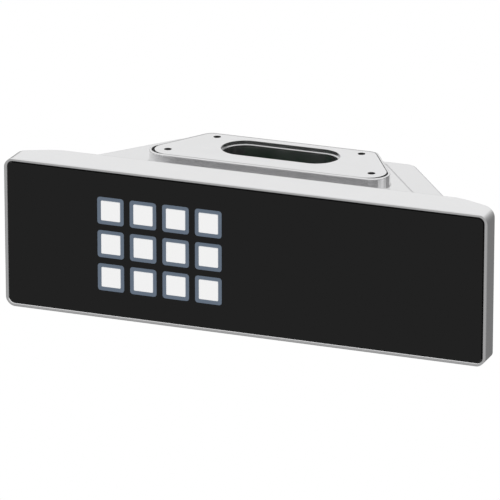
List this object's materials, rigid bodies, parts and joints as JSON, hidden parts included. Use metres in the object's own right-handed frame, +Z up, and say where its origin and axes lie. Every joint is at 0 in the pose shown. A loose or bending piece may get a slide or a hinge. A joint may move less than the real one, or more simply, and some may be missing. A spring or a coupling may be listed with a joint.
{
  "type": "hmi touch panel",
  "caption": "Wide operator panel for a support arm: black glass front with square short-stroke keys and a display, aluminium frame, rear hump with a neck flange and cable opening.",
  "frame": {"origin": "midway between the two front holes of the neck flange, on its seating face", "axes": "+X to the right seen from the front, +Y to the back, +Z up and out of the seating face"},
  "size_m": [0.3298, 0.1073, 0.1033],
  "materials": {
    "frame_aluminium": "sand-blasted and clear anodised",
    "housing_aluminium": "sand-blasted casting",
    "black_glass": "gloss, printed black on the back",
    "adhesive": "foam tape",
    "touch_sensor": "clear film with traces",
    "display_glass": "dark polarised glass",
    "tray_steel": "plain sheet",
    "key_blue": "fine satin",
    "key_white": "satin, translucent",
    "plunger_clear": "frosted",
    "switch_black": "plain",
    "dome_steel": "spring steel",
    "led_white": "ceramic package",
    "board_green": "solder mask",
    "spacer_brass": "nickel free, turned",
    "screw_steel": "stainless",
    "carrier_steel": "zinc-plated sheet",
    "cable_amber": "polyimide film",
    "chip_black": "moulded package",
    "thermal_grey": "soft pad",
    "sink_aluminium": "extruded",
    "terminal_green": "plain",
    "socket_steel": "tinned shell",
    "seal_black": "foam",
    "cover_aluminium": "sand-blasted sheet",
    "earth_brass": "plain",
    "vent_black": "moulded"
  },
  "bodies": {
    "housing": {"front_frame": "frame_aluminium", "front_glass": "black_glass", "glass_bond": "adhesive", "touch_film": "touch_sensor", "display_cell": "display_glass", "display_tray": "tray_steel", "display_spacers": "spacer_brass", "display_screws": "screw_steel", "key_housings": "key_blue", "switch_cases": "switch_black", "snap_domes": "dome_steel", "key_lights": "led_white", "key_board": "board_green", "key_board_spacers": "spacer_brass", "key_board_screws": "screw_steel", "carrier_plate": "carrier_steel", "carrier_screws": "screw_steel", "key_flat_cable": "cable_amber", "display_flat_cable": "cable_amber", "main_board": "board_green", "main_board_spacers": "spacer_brass", "main_board_screws": "screw_steel", "processor": "chip_black", "thermal_pad": "thermal_grey", "heat_sink": "sink_aluminium", "power_terminal": "terminal_green", "network_sockets": "socket_steel", "rear_seal": "seal_black", "rear_housing": "housing_aluminium", "rear_screws": "screw_steel", "service_seal": "seal_black", "service_cover": "cover_aluminium", "service_screws": "screw_steel", "earth_stud": "earth_brass", "vent_plug": "vent_black"},
    "key_1": {"key_cap_1": "key_white", "key_plunger_1": "plunger_clear"},
    "key_2": {"key_cap_2": "key_white", "key_plunger_2": "plunger_clear"},
    "key_3": {"key_cap_3": "key_white", "key_plunger_3": "plunger_clear"},
    "key_4": {"key_cap_4": "key_white", "key_plunger_4": "plunger_clear"},
    "key_5": {"key_cap_5": "key_white", "key_plunger_5": "plunger_clear"},
    "key_6": {"key_cap_6": "key_white", "key_plunger_6": "plunger_clear"},
    "key_7": {"key_cap_7": "key_white", "key_plunger_7": "plunger_clear"},
    "key_8": {"key_cap_8": "key_white", "key_plunger_8": "plunger_clear"},
    "key_9": {"key_cap_9": "key_white", "key_plunger_9": "plunger_clear"},
    "key_10": {"key_cap_10": "key_white", "key_plunger_10": "plunger_clear"},
    "key_11": {"key_cap_11": "key_white", "key_plunger_11": "plunger_clear"},
    "key_12": {"key_cap_12": "key_white", "key_plunger_12": "plunger_clear"}
  },
  "joints": [
    {"name": "key_1_press", "type": "slide", "parent": "housing", "child": "key_1", "axis": [0, 1, 0], "range_m": [0, 0.0008], "stiffness_N_per_m": 2000},
    {"name": "key_2_press", "type": "slide", "parent": "housing", "child": "key_2", "axis": [0, 1, 0], "range_m": [0, 0.0008], "stiffness_N_per_m": 2000},
    {"name": "key_3_press", "type": "slide", "parent": "housing", "child": "key_3", "axis": [0, 1, 0], "range_m": [0, 0.0008], "stiffness_N_per_m": 2000},
    {"name": "key_4_press", "type": "slide", "parent": "housing", "child": "key_4", "axis": [0, 1, 0], "range_m": [0, 0.0008], "stiffness_N_per_m": 2000},
    {"name": "key_5_press", "type": "slide", "parent": "housing", "child": "key_5", "axis": [0, 1, 0], "range_m": [0, 0.0008], "stiffness_N_per_m": 2000},
    {"name": "key_6_press", "type": "slide", "parent": "housing", "child": "key_6", "axis": [0, 1, 0], "range_m": [0, 0.0008], "stiffness_N_per_m": 2000},
    {"name": "key_7_press", "type": "slide", "parent": "housing", "child": "key_7", "axis": [0, 1, 0], "range_m": [0, 0.0008], "stiffness_N_per_m": 2000},
    {"name": "key_8_press", "type": "slide", "parent": "housing", "child": "key_8", "axis": [0, 1, 0], "range_m": [0, 0.0008], "stiffness_N_per_m": 2000},
    {"name": "key_9_press", "type": "slide", "parent": "housing", "child": "key_9", "axis": [0, 1, 0], "range_m": [0, 0.0008], "stiffness_N_per_m": 2000},
    {"name": "key_10_press", "type": "slide", "parent": "housing", "child": "key_10", "axis": [0, 1, 0], "range_m": [0, 0.0008], "stiffness_N_per_m": 2000},
    {"name": "key_11_press", "type": "slide", "parent": "housing", "child": "key_11", "axis": [0, 1, 0], "range_m": [0, 0.0008], "stiffness_N_per_m": 2000},
    {"name": "key_12_press", "type": "slide", "parent": "housing", "child": "key_12", "axis": [0, 1, 0], "range_m": [0, 0.0008], "stiffness_N_per_m": 2000}
  ]
}
